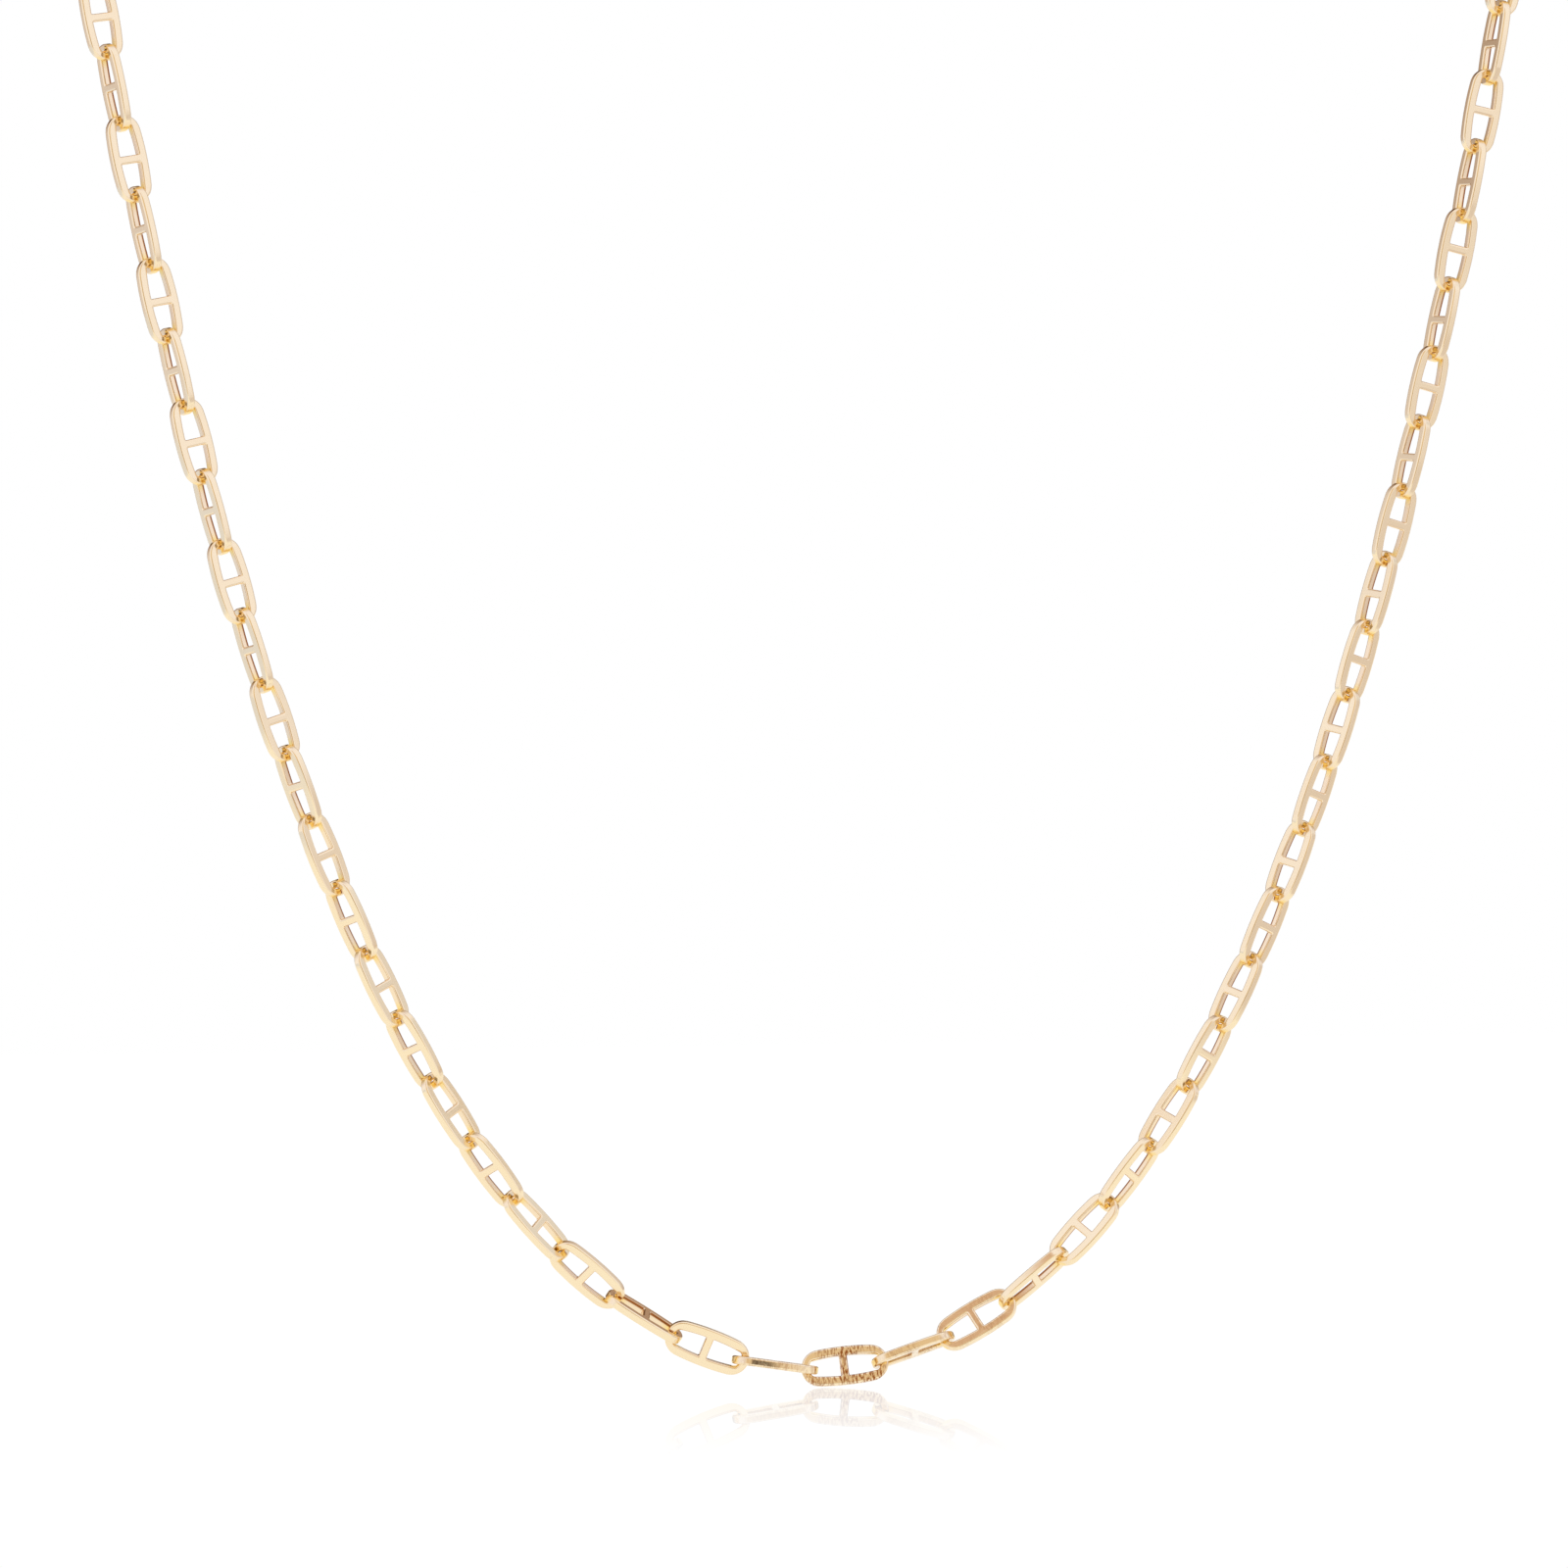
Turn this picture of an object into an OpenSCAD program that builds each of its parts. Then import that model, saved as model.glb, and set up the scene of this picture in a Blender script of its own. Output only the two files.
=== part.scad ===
// Flat anchor link neck chain, closed by a plain clasp at the nape.
// Each link is a flat oval with a cross bar, cut from plate and turned a quarter against the next one.
// The front hangs from both sides of the neck as a hanging curve, bends back over the shoulders
// and runs round the nape as a half ring that rises towards the back. The origin is at the nape.

/* [Link] */
// Length of a link over its two ends
link_l = 6.78; // [6.74:0.01:6.82]
// Width of a link over its side walls
link_w = 3; // [2.9:0.05:3.1]
// Thickness of the plate that a link is cut from
link_t = 0.66; // [0.62:0.02:0.72]
// Radius of the outline round each end
end_r = 1.4; // [1.34:0.02:1.42]
// Width of the metal along each side, at the cross bar
side_wall = 0.71; // [0.68:0.01:0.74]
// Width of the metal at each end, which the next link hangs on
end_wall = 0.59; // [0.57:0.01:0.61]
// Radius of the long sides of each hole, which run straighter than the outline
hole_side_r = 18; // [16:1:24]
// Radius of the far end of each hole
hole_end_r = 0.9; // [0.9:0.05:1.2]
// Radius of the worn edges that the next link bears on
worn_r = 0.25; // [0.2:0.01:0.3]
// Width of the cross bar
bar_w = 0.62; // [0.5:0.02:0.7]
// How far the cross bar sits off the middle, one way in a link and the other way in the next
bar_shift = 0.08; // [0:0.01:0.1]
// Running gap where one link hangs in the next
joint_gap = 0.1; // [0.08:0.01:0.12]

/* [Drape] */
// Radius of the hanging curve at its lowest point
hang_r = 22.5; // [22:0.1:23]
// Length of the hanging curve from its lowest point up to the shoulder
front_half = 128.4; // [128:0.1:129]
// Place of the middle link along the hanging curve, off its lowest point
middle_s = 2; // [1.5:0.1:2.5]
// Radius of the bend over each shoulder
shoulder_r = 11; // [10:0.5:12]
// Slope of the half ring up to the nape, in degrees
nape_rise = 28; // [26:1:30]

/* [Clasp] */
// Width of the clasp's body
clasp_w = 4.2; // [3.6:0.1:4.8]
// Thickness of the clasp's body
clasp_t = 1.8; // [1.4:0.1:2.2]
// Radius of the hole in each eye
eye_r = 0.85; // [0.8:0.05:0.9]
// Width of the metal round each eye
eye_wall = 0.65; // [0.6:0.05:0.7]

/* [Hidden] */
$fn = 64;
gold = [0.9, 0.75, 0.54];
// Links that are nodes of their own, and the hidden links on either side of them, joined as runs
front_links = 42;
left_links = 19;
right_links = 20;
runs_a_side = 3;
links = left_links + front_links + right_links;
middle_link = (links + 1) / 2;
pitch = link_l - 2 * end_wall - joint_gap;
// Extra metal at the ends where two links of one run are joined
joined_wall = 0.12;

// Turn of the odd links about the chain, in degrees, by their place along it. At 0 a link lies
// flat in the curve. The even links stand a quarter turn from it.
// Columns: place, turn
turns = [
    [-215, 0], [-125, 65], [-76, 63], [-66, 56], [-50, 49], [-31, 45], [-25.5, 41], [-20, 30],
    [-14.5, 17], [-9, 10], [-3.5, -4], [2, -17], [7.5, -19], [13, -30], [18.5, -33], [24, -43],
    [29.5, -47], [35, -50], [40.5, -54], [51, -54], [62, -52], [75, -58], [84, -65], [101, -69],
    [112, -73], [125, -75], [220, 0]
];

// The outline's side arcs run smoothly into its end arcs
end_x = link_l / 2 - end_r;
side_r = (pow(end_x, 2) + pow(link_w / 2, 2) - pow(end_r, 2)) / (2 * (link_w / 2 - end_r));
tangent_x = end_x * side_r / (side_r - end_r);

// A station is a point of the chain's route, its direction and the way in to the loop's middle
POINT = 0;
AHEAD = 1;
INWARD = 2;
to_middle = [-1, 0, 0];
nape_ahead = [0, cos(nape_rise), sin(nape_rise)];
hang_end = hang_station(front_half);
shoulder_turn = acos(hang_end[AHEAD] * nape_ahead);
shoulder_way = unit(nape_ahead - cos(shoulder_turn) * hang_end[AHEAD]);
shoulder_l = shoulder_r * shoulder_turn * PI / 180;
shoulder_end = arc_point(hang_end[POINT], hang_end[AHEAD], shoulder_way, shoulder_r, shoulder_turn);
nape_r = shoulder_end.x;
nape_l = nape_r * PI / 2;
loop_l = 2 * (front_half + shoulder_l + nape_l);
nape = arc_point(shoulder_end, nape_ahead, to_middle, nape_r, 90);
clasp_reach = loop_l - links * pitch;

function unit(v) = v / norm(v);
function square_to(v, along) = unit(v - (v * along) * along);
function asinh(x) = ln(x + sqrt(x * x + 1));
function mirrored(v) = [-v.x, v.y, v.z];

function arc_point(from, ahead, way, radius, angle) =
    from + radius * (sin(angle) * ahead + (1 - cos(angle)) * way);
function arc_ahead(ahead, way, angle) = cos(angle) * ahead + sin(angle) * way;

// A station of the hanging curve, at length s from its lowest point
function hang_station(s) =
    let (h = norm([hang_r, s]))
    [[hang_r * asinh(s / hang_r), 0, h - hang_r], [hang_r, 0, s] / h, [-s, 0, hang_r] / h];

// A station of the bend over the shoulder, at length s from its start
function shoulder_station(s) =
    let (angle = shoulder_turn * s / shoulder_l)
    let (ahead = arc_ahead(hang_end[AHEAD], shoulder_way, angle))
    let (inward = (1 - s / shoulder_l) * hang_end[INWARD] + s / shoulder_l * to_middle)
    [
        arc_point(hang_end[POINT], hang_end[AHEAD], shoulder_way, shoulder_r, angle),
        ahead,
        square_to(inward, ahead)
    ];

// A station of the half ring round the nape, at length s from the shoulder
function nape_station(s) =
    let (angle = 90 * s / nape_l)
    [
        arc_point(shoulder_end, nape_ahead, to_middle, nape_r, angle),
        arc_ahead(nape_ahead, to_middle, angle),
        cos(angle) * to_middle - sin(angle) * nape_ahead
    ];

// A station of the right half of the loop, at length s from the lowest point
function right_station(s) =
    s < front_half ? hang_station(s)
    : s < front_half + shoulder_l ? shoulder_station(s - front_half)
    : nape_station(s - front_half - shoulder_l);

// A station anywhere on the loop, whose left half mirrors the right one
function station(s) =
    s > loop_l / 2 ? station(s - loop_l)
    : s >= 0 ? right_station(s)
    : let (m = right_station(-s))
      [mirrored(m[POINT]), -mirrored(m[AHEAD]), mirrored(m[INWARD])];

function link_s(n) = middle_s + pitch * (n - middle_link);
function turn_at(s) = lookup(s, turns);
function is_odd(n) = n % 2 == 1;

function digits(n) = n < 10 ? str("0", n) : str(n);
function front_name(i) = str("link_", digits(i));
function run_name(i) =
    str(i < runs_a_side ? "left_" : "right_",
        ["nape", "side", "shoulder"][i < runs_a_side ? i : 2 * runs_a_side - 1 - i], "_links");
// The first link of a run. Links are counted from the clasp, down the left side and up the right.
function run_start(i) =
    i < runs_a_side ? 1 + floor(left_links * i / runs_a_side)
    : 1 + left_links + front_links + floor(right_links * (i - runs_a_side) / runs_a_side);
function run_end(i) = i == runs_a_side - 1 ? left_links : run_start(i + 1) - 1;

// Places a piece that reaches from s_a to s_b along the loop, turned about that line
module span(s_a, s_b, turn)
{
    a = station(s_a)[POINT];
    b = station(s_b)[POINT];
    x = unit(b - a);
    inward = square_to(station((s_a + s_b) / 2)[INWARD], x);
    y = cos(turn) * inward + sin(turn) * cross(x, inward);
    z = cross(x, y);
    c = (a + b) / 2 - nape;
    multmatrix([[x.x, y.x, z.x, c.x], [x.y, y.y, z.y, c.y], [x.z, y.z, z.z, c.z], [0, 0, 0, 1]])
        children();
}

// The shape between two arcs of one radius that bulge to either side, of the given width
module lens(radius, width)
{
    intersection_for (side = [-1, 1])
        translate([0, side * (radius - width / 2)])
            circle(r = radius, $fn = 8 * $fn);
}

module link_outline()
{
    intersection()
    {
        lens(side_r, link_w);
        square([2 * tangent_x, link_w], center = true);
    }
    for (side = [-1, 1])
        translate([side * end_x, 0])
            circle(r = end_r);
}

// One hole, from the bar's edge at bar_x to an end wall of the given width
module link_hole(bar_x, wall)
{
    intersection()
    {
        lens(hole_side_r, link_w - 2 * side_wall);
        translate([bar_x, -link_w / 2])
            square([link_l, link_w]);
        translate([link_l / 2 - wall - hole_end_r, 0])
            circle(r = hole_end_r);
    }
}

// The metal worn off one edge of an end wall, seen from the side: a corner less a round
module worn_edge()
{
    difference()
    {
        translate([-worn_r, 0])
            square([2 * worn_r, 2 * worn_r]);
        translate([worn_r, 0])
            circle(r = worn_r);
    }
}

// Both worn edges of the high end's wall, as one cutter across the link
module worn_edges(wall)
{
    across = 2 * sqrt(pow(hole_end_r, 2) - pow(hole_end_r - worn_r, 2));
    for (side = [0, 1])
        mirror([0, 0, side])
            translate([link_l / 2 - wall, 0, link_t / 2 - worn_r])
                rotate([90, 0, 0])
                    linear_extrude(across, center = true)
                        worn_edge();
}

// A link along X, flat in XY. The two walls are the widths of its metal at the low and the high end.
module link(low_wall, high_wall, shift)
{
    difference()
    {
        linear_extrude(link_t, center = true)
            difference()
            {
                link_outline();
                link_hole(shift + bar_w / 2, high_wall);
                mirror([1, 0])
                    link_hole(bar_w / 2 - shift, low_wall);
            }
        worn_edges(high_wall);
        mirror([1, 0, 0])
            worn_edges(low_wall);
    }
}

module chain_link(n, low_wall = end_wall, high_wall = end_wall)
{
    s = link_s(n);
    span(s - pitch / 2, s + pitch / 2, turn_at(s) + (is_odd(n) ? 0 : 90))
        link(low_wall, high_wall, is_odd(n) ? -bar_shift : bar_shift);
}

module front_link(i)
{
    color(gold)
        chain_link(left_links + i);
}

module run_links(i)
{
    color(gold)
        for (n = [run_start(i):run_end(i)])
            chain_link(
                n,
                n == run_start(i) ? end_wall : end_wall + joined_wall,
                n == run_end(i) ? end_wall : end_wall + joined_wall
            );
}

// The hole of an eye, with both its edges worn to a slope
module eye_hole()
{
    cylinder(r = eye_r, h = 2 * clasp_t, center = true);
    for (side = [0, 1])
        mirror([0, 0, side])
            translate([0, 0, link_t / 2 - worn_r])
                cylinder(r1 = eye_r, r2 = eye_r + worn_r, h = worn_r);
}

// A plain closed clasp: a flat body between two eyes, all one piece
module clasp()
{
    eye_x = (clasp_reach + joint_gap) / 2 - eye_r;
    body_l = 2 * eye_x - 2 * eye_r;
    body_r = (pow(body_l / 2, 2) + pow(clasp_w / 2, 2)) / clasp_w;
    color(gold)
        span(link_s(links) + pitch / 2, link_s(1) - pitch / 2 + loop_l, 90)
            difference()
            {
                union()
                {
                    linear_extrude(clasp_t, center = true)
                        lens(body_r, clasp_w);
                    linear_extrude(link_t, center = true)
                    {
                        square([2 * eye_x, 2 * eye_wall], center = true);
                        for (side = [-1, 1])
                            translate([side * eye_x, 0])
                                circle(r = eye_r + eye_wall);
                    }
                }
                for (side = [-1, 1])
                    translate([side * eye_x, 0, 0])
                        eye_hole();
            }
}

for (i = [1:front_links])
    front_link(i);
for (i = [0:2 * runs_a_side - 1])
    run_links(i);
clasp();
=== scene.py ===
# Flat anchor link neck chain: 81 flat gold links with a cross bar, each turned a quarter
# against the next one, closed by a plain clasp at the nape.
import math

import bmesh
import bpy
import numpy as np
from mathutils import Matrix, Vector


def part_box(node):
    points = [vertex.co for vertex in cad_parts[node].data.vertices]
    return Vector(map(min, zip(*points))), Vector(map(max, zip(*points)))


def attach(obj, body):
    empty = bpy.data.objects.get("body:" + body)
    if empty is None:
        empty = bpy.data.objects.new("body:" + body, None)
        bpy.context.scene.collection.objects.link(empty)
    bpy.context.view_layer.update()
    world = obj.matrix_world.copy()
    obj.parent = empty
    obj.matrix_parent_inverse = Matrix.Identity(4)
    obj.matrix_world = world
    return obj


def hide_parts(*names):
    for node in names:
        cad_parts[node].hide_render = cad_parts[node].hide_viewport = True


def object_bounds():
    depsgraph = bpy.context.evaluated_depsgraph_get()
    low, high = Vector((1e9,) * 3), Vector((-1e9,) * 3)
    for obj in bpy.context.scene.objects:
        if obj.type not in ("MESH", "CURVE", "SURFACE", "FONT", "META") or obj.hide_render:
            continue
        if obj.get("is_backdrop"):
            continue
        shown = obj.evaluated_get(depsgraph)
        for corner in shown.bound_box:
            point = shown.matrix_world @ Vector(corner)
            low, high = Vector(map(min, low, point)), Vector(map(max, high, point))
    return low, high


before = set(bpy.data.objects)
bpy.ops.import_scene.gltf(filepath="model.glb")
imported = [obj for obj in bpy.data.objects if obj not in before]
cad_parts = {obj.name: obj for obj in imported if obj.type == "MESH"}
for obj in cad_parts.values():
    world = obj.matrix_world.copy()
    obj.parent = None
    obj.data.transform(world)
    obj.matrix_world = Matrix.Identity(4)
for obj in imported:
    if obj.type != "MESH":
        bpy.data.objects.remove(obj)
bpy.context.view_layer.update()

bl_info = {
    "name": "Flat anchor link neck chain",
    "version": (1, 0, 0),
    "blender": (4, 5, 0),
    "location": "View3D > Sidebar > Neck chain",
    "description": "Builds the links, the clasp and the light table of a flat anchor link neck chain",
    "category": "Object",
}

MM = 0.001

# Turn of the odd links about the chain, in degrees, by their place along it in mm. At 0 a link
# lies flat in the curve. The even links stand a quarter turn from it.
# Columns: place, turn
TURNS = [
    (-215, 0), (-125, 65), (-76, 63), (-66, 56), (-50, 49), (-31, 45), (-25.5, 41), (-20, 30),
    (-14.5, 17), (-9, 10), (-3.5, -4), (2, -17), (7.5, -19), (13, -30), (18.5, -33), (24, -43),
    (29.5, -47), (35, -50), (40.5, -54), (51, -54), (62, -52), (75, -58), (84, -65), (101, -69),
    (112, -73), (125, -75), (220, 0),
]

# Zones of the white tent, most of them dimmer than the rest, each laid over those before it.
# Azimuth 0 is the camera's side and 90 the right.
# Columns: name, azimuth, elevation, radius and softness in degrees, colour
TENT_ZONES = [
    ("right wall", 84, -2, 24, 8, (0.76, 0.71, 0.75)),
    ("upper right wall", 95, 28, 12, 8, (0.76, 0.78, 0.88)),
    ("lower right wall", 52, -8, 10, 6, (0.86, 0.83, 0.88)),
    ("dark frame round the backdrop", 180, 10, 52, 25, (0.37, 0.25, 0.18)),
    ("inner edge of the frame", 180, 6, 32, 6, (0.11, 0.05, 0.02)),
    ("light in the frame", 152, 26, 7, 4, (0.45, 0.31, 0.24)),
    ("backdrop", 173, 2, 18, 4, (1.0, 1.0, 1.0)),
    ("opening", -4, 16, 30, 12, (0.80, 0.65, 0.47)),
    ("opening above the camera", -24, 50, 10, 8, (0.66, 0.44, 0.30)),
    ("camera", 1, 2, 6, 3, (0.05, 0.03, 0.02)),
]
# The tent's own light is a little blue
TENT_WHITE = (1, 1.01, 1.16)
# The table's light is just over white
TABLE_GLOW = 1.02
WHITE, BLACK = (1, 1, 1), (0, 0, 0)


# The four kinds of setting, whose defaults are given in mm, degrees, shares and linear colours
def length(default, name, description):
    return bpy.props.FloatProperty(
        name=name, description=description, default=default * MM, min=0, unit="LENGTH", precision=5
    )


def angle(default, name, description):
    return bpy.props.FloatProperty(
        name=name, description=description, default=math.radians(default), unit="ROTATION"
    )


def factor(default, name, description):
    return bpy.props.FloatProperty(
        name=name, description=description, default=default, min=0, max=1, subtype="FACTOR"
    )


def colour(default, name, description):
    return bpy.props.FloatVectorProperty(
        name=name, description=description, default=default, size=3, min=0, max=1, subtype="COLOR"
    )


class LinkSizes(bpy.types.PropertyGroup):
    """Sizes of one flat link."""

    long: length(6.78, "Length", "Length of a link over its two ends")
    wide: length(3.0, "Width", "Width of a link over its side walls")
    thick: length(0.66, "Thickness", "Thickness of the plate that a link is cut from")
    end_r: length(1.4, "End radius", "Radius of the outline round each end")
    side_wall: length(0.71, "Side wall", "Width of the metal along each side, at the bar")
    end_wall: length(0.59, "End wall", "Width of the metal at each end")
    hole_side_r: length(18, "Hole side radius", "Radius of the long sides of each hole")
    hole_corner_r: length(0.3, "Hole corner radius", "Radius between a hole's side and its end")
    hole_end_r: length(0.9, "Hole end radius", "Radius of the far end of each hole")
    bar_wide: length(0.62, "Bar width", "Width of the cross bar")
    bar_shift: length(0.08, "Bar shift", "How far the bar sits off the middle of its link")
    bar_corner_r: length(0.07, "Bar corner radius", "Radius where the bar runs into a side")
    edge_r: length(0.17, "Edge radius", "Radius of the polished edges")


class DrapeSizes(bpy.types.PropertyGroup):
    """How the loop hangs."""

    pitch: length(5.5, "Pitch", "Distance from one link to the next")
    hang_r: length(22.5, "Hanging radius", "Radius of the hanging curve at its lowest point")
    front_half: length(128.4, "Front half", "Length of the hanging curve up to the shoulder")
    middle_s: length(2, "Middle link", "Place of the middle link off the lowest point")
    shoulder_r: length(11, "Shoulder radius", "Radius of the bend over each shoulder")
    nape_rise: angle(28, "Nape rise", "Slope of the half ring up to the nape")


class ClaspSizes(bpy.types.PropertyGroup):
    """Sizes of the plain clasp."""

    wide: length(4.2, "Width", "Width of the clasp's body")
    thick: length(1.8, "Thickness", "Thickness of the clasp's body")
    eye_r: length(0.85, "Eye radius", "Radius of the hole in each eye")
    eye_wall: length(0.65, "Eye wall", "Width of the metal round each eye")
    gap: length(0.1, "Gap", "Running gap between an eye and its link")


class GoldFinish(bpy.types.PropertyGroup):
    """Finish of the gold."""

    bright: colour((0.955, 0.80, 0.545), "Gold", "Colour of the polished gold")
    warm: colour((0.94, 0.765, 0.49), "Warm gold", "Colour of the gold where it drifts warmer")
    # Painted shade: the walls of the holes are coloured darker than the open faces
    shade: colour((0.93, 0.75, 0.51), "Shaded gold", "Colour of the walls of the holes")
    # Painted shade and reflection: a darker, more saturated gold where the links hang in each other
    painted_joint_shade: colour((0.98, 0.71, 0.22), "Deep gold", "Colour of the gold in the joints")
    # Dark colour of the dirt in the scuffs, also used for the painted shade lines along the holes
    stain_and_shade: colour((0.38, 0.14, 0.035), "Stain", "Colour of the grime in scuffs and cut lines")
    polish: factor(0.14, "Polish", "Roughness of the polished gold")
    haze: factor(0.24, "Haze", "Roughness along the hairlines")


class StageSizes(bpy.types.PropertyGroup):
    """The light table and the camera."""

    table: length(900, "Table", "Width of the light table")
    drop: length(0.05, "Drop", "Distance from the lowest link down to the table")
    reach: length(56, "Reflection reach", "How far from its foot the table still mirrors the chain")
    mirror: factor(0.34, "Mirror", "Share of the mirror image at the foot of the chain")
    left_from: length(120, "Left zone from", "How far to the left the table starts to dim")
    left_full: length(190, "Left zone full", "How far to the left the table is dimmest")
    left: colour((0.80, 0.84, 0.98), "Left zone", "Colour of the table on its left")
    right_from: length(70, "Right zone from", "How far to the right the table starts to dim")
    right_full: length(95, "Right zone full", "How far to the right the table is dimmest")
    right_near: length(20, "Right zone near", "How far behind the foot the right zone is full")
    right_back: length(40, "Right zone back", "How far behind the foot the right zone ends")
    right: colour((0.76, 0.71, 0.74), "Right zone", "Colour of the table on its right in front")
    distance: length(506.4, "Camera distance", "Distance from the camera to the front of the chain")
    aim_left: length(2.389, "Aim left", "How far left of the chain's middle the camera looks")
    aim_down: length(98.675, "Aim down", "How far below the nape the camera looks")
    lens: bpy.props.FloatProperty(
        name="Lens", description="Focal length of the camera", default=150.87, unit="CAMERA"
    )
    yaw: angle(-7.37, "Camera yaw", "Turn of the camera about the chain, negative to the left")
    rise: angle(0.69, "Camera rise", "Height of the camera above the horizon")
    roll: angle(-0.473, "Camera roll", "Roll of the camera")


class ChainSettings(bpy.types.PropertyGroup):
    """All settings of the neck chain."""

    link: bpy.props.PointerProperty(type=LinkSizes)
    drape: bpy.props.PointerProperty(type=DrapeSizes)
    clasp: bpy.props.PointerProperty(type=ClaspSizes)
    gold: bpy.props.PointerProperty(type=GoldFinish)
    stage: bpy.props.PointerProperty(type=StageSizes)


# The front links are nodes of their own, and those above them on either side are joined as runs.
# Links are counted from the clasp down the left side and up the right.
FRONT = sorted(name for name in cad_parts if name.startswith("link_"))
LEFT_LINKS = 19
RIGHT_LINKS = 20
LINKS = LEFT_LINKS + len(FRONT) + RIGHT_LINKS
MIDDLE_LINK = (LINKS + 1) / 2
# Columns: node, first link, last link
RUNS = [
    ("left_nape_links", 1, 6), ("left_side_links", 7, 12), ("left_shoulder_links", 13, 19),
    ("right_shoulder_links", 62, 67), ("right_side_links", 68, 74), ("right_nape_links", 75, 81),
]

# Links at the foot of the chain that are scuffed from use
# Columns: node, share of the scuffs
SCUFFED_LINKS = [("link_21", 0.35), ("link_22", 1.0), ("link_23", 0.4), ("link_24", 0.25)]

# Even links whose holes get the painted dark shade line, as those of all odd links do
LINED_EVEN_LINKS = (38, 44, 46, 48, 50)


def unit(v):
    """The direction of v, at length 1."""
    return v / np.linalg.norm(v)


def square_to(v, along):
    """The part of v that stands square to a direction, at length 1."""
    return unit(v - (v @ along) * along)


class Route:
    """The chain's route: a hanging curve, a bend over each shoulder and a half ring to the nape.

    All its lengths are in metres, and its origin is the nape.
    """

    to_middle = np.array([-1.0, 0, 0])
    mirror = np.array([-1.0, 1, 1])

    def __init__(self, drape):
        self.drape = drape
        self.nape_ahead = np.array([0, math.cos(drape.nape_rise), math.sin(drape.nape_rise)])
        point, ahead, _ = self.hang(drape.front_half)
        self.bend = math.acos(ahead @ self.nape_ahead)
        self.way = unit(self.nape_ahead - math.cos(self.bend) * ahead)
        self.shoulder_l = drape.shoulder_r * self.bend
        self.ring = self.arc(point, ahead, self.way, drape.shoulder_r, self.bend)
        self.nape_r = self.ring[0]
        self.half = drape.front_half + self.shoulder_l + self.nape_r * math.pi / 2
        self.nape = self.arc(self.ring, self.nape_ahead, self.to_middle, self.nape_r, math.pi / 2)

    @staticmethod
    def arc(start, ahead, way, radius, turned):
        """The point at an angle along an arc that starts ahead and bends the given way."""
        return start + radius * (math.sin(turned) * ahead + (1 - math.cos(turned)) * way)

    def hang(self, s):
        """Point, direction and way in on the hanging curve."""
        r = self.drape.hang_r
        h = math.hypot(r, s)
        point = np.array([r * math.asinh(s / r), 0, h - r])
        return point, np.array([r, 0, s]) / h, np.array([-s, 0, r]) / h

    def right(self, s):
        """Point, direction and way in of the right half, at length s from the lowest point."""
        drape = self.drape
        if s < drape.front_half:
            return self.hang(s)
        start, ahead, inward = self.hang(drape.front_half)
        s -= drape.front_half
        if s < self.shoulder_l:
            share = s / self.shoulder_l
            turned = self.bend * share
            point = self.arc(start, ahead, self.way, drape.shoulder_r, turned)
            tangent = math.cos(turned) * ahead + math.sin(turned) * self.way
            return point, tangent, square_to((1 - share) * inward + share * self.to_middle, tangent)
        turned = (s - self.shoulder_l) / self.nape_r
        point = self.arc(self.ring, self.nape_ahead, self.to_middle, self.nape_r, turned)
        tangent = math.cos(turned) * self.nape_ahead + math.sin(turned) * self.to_middle
        return point, tangent, math.cos(turned) * self.to_middle - math.sin(turned) * self.nape_ahead

    def station(self, s):
        """Point, direction and way in anywhere on the loop, whose left half mirrors the right."""
        if s > self.half:
            s -= 2 * self.half
        if s >= 0:
            return self.right(s)
        point, ahead, inward = self.right(-s)
        return self.mirror * point, -self.mirror * ahead, self.mirror * inward

    def span(self, s_a, s_b, turn):
        """Axes and middle of a piece that reaches from s_a to s_b, turned about that line."""
        a, b = self.station(s_a)[0], self.station(s_b)[0]
        x = unit(b - a)
        inward = square_to(self.station((s_a + s_b) / 2)[2], x)
        y = math.cos(turn) * inward + math.sin(turn) * np.cross(x, inward)
        return np.array([x, y, np.cross(x, y)]), (a + b) / 2 - self.nape

    def ends(self, n):
        """The far and the near end of link n, as lengths from the lowest point up the right."""
        s = self.drape.middle_s + self.drape.pitch * (n - MIDDLE_LINK)
        half = self.drape.pitch / 2
        return s + half, s - half

    def place(self, n):
        """Axes and middle of link n."""
        high, low = self.ends(n)
        turn = np.interp((low + high) / 2 / MM, *zip(*TURNS)) + (0 if n % 2 else 90)
        return self.span(low, high, math.radians(turn))


def arc_points(centre, radius, start, end, steps):
    """Points along an arc and their directions from its centre, without its last point."""
    turned = np.linspace(start, end, steps, endpoint=False)
    way = np.column_stack([np.cos(turned), np.sin(turned)])
    return centre + radius * way, way


def soft_step(share):
    """Runs softly from 0 to 1 as the share does."""
    share = np.clip(share, 0, 1)
    return share * share * (3 - 2 * share)


def upward(centre, radius, x):
    """The height at x of a circle's upper half."""
    return centre[1] + math.sqrt(radius**2 - (x - centre[0]) ** 2)


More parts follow.
